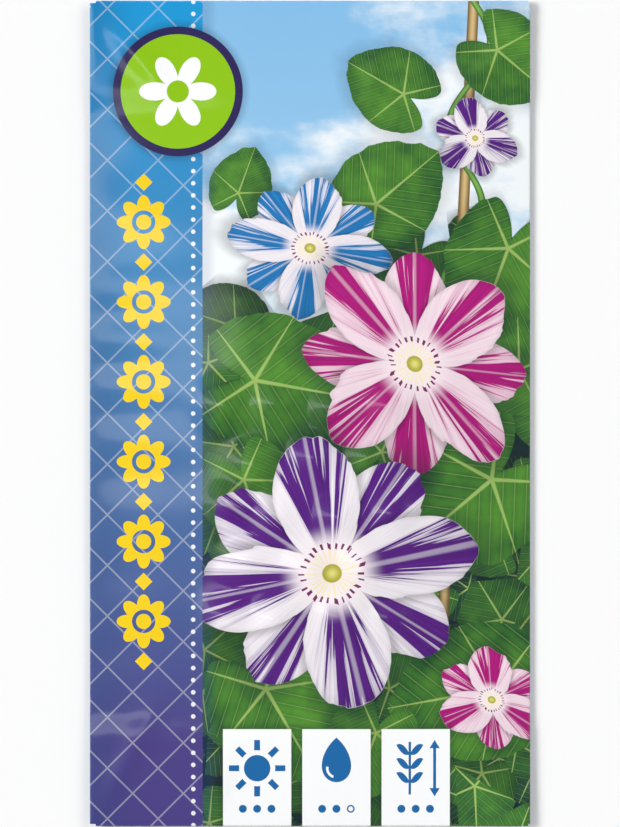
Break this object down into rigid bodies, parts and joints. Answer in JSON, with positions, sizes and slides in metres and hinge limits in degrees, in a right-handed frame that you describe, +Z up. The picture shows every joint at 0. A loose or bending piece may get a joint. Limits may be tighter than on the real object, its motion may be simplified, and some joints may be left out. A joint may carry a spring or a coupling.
{
  "type": "seed packet",
  "caption": "Flat glued paper packet for flower seeds, with a wrap-around back panel, a side seam and folded end flaps, swelled by the seeds inside.",
  "frame": {"origin": "on the surface that the packet lies on, under the middle of its outline", "axes": "+Z up, out of the printed front; +Y towards the top of the packet; +X to the right of someone who reads the front"},
  "size_m": [0.08, 0.15, 0.0049],
  "materials": {
    "printed_paper": "coated and printed, glossy",
    "dry_glue": "dried packet glue",
    "seed_coat": "dull dry seed coat"
  },
  "bodies": {
    "root": {"packet_paper": "printed_paper", "side_seam_glue": "dry_glue", "top_flap_glue": "dry_glue", "bottom_flap_glue": "dry_glue", "seed_01": "seed_coat", "seed_02": "seed_coat", "seed_03": "seed_coat", "seed_04": "seed_coat", "seed_05": "seed_coat", "seed_06": "seed_coat", "seed_07": "seed_coat", "seed_08": "seed_coat", "seed_09": "seed_coat", "seed_10": "seed_coat", "seed_11": "seed_coat", "seed_12": "seed_coat", "seed_13": "seed_coat", "seed_14": "seed_coat", "seed_15": "seed_coat", "seed_16": "seed_coat", "seed_17": "seed_coat", "seed_18": "seed_coat"}
  },
  "joints": []
}
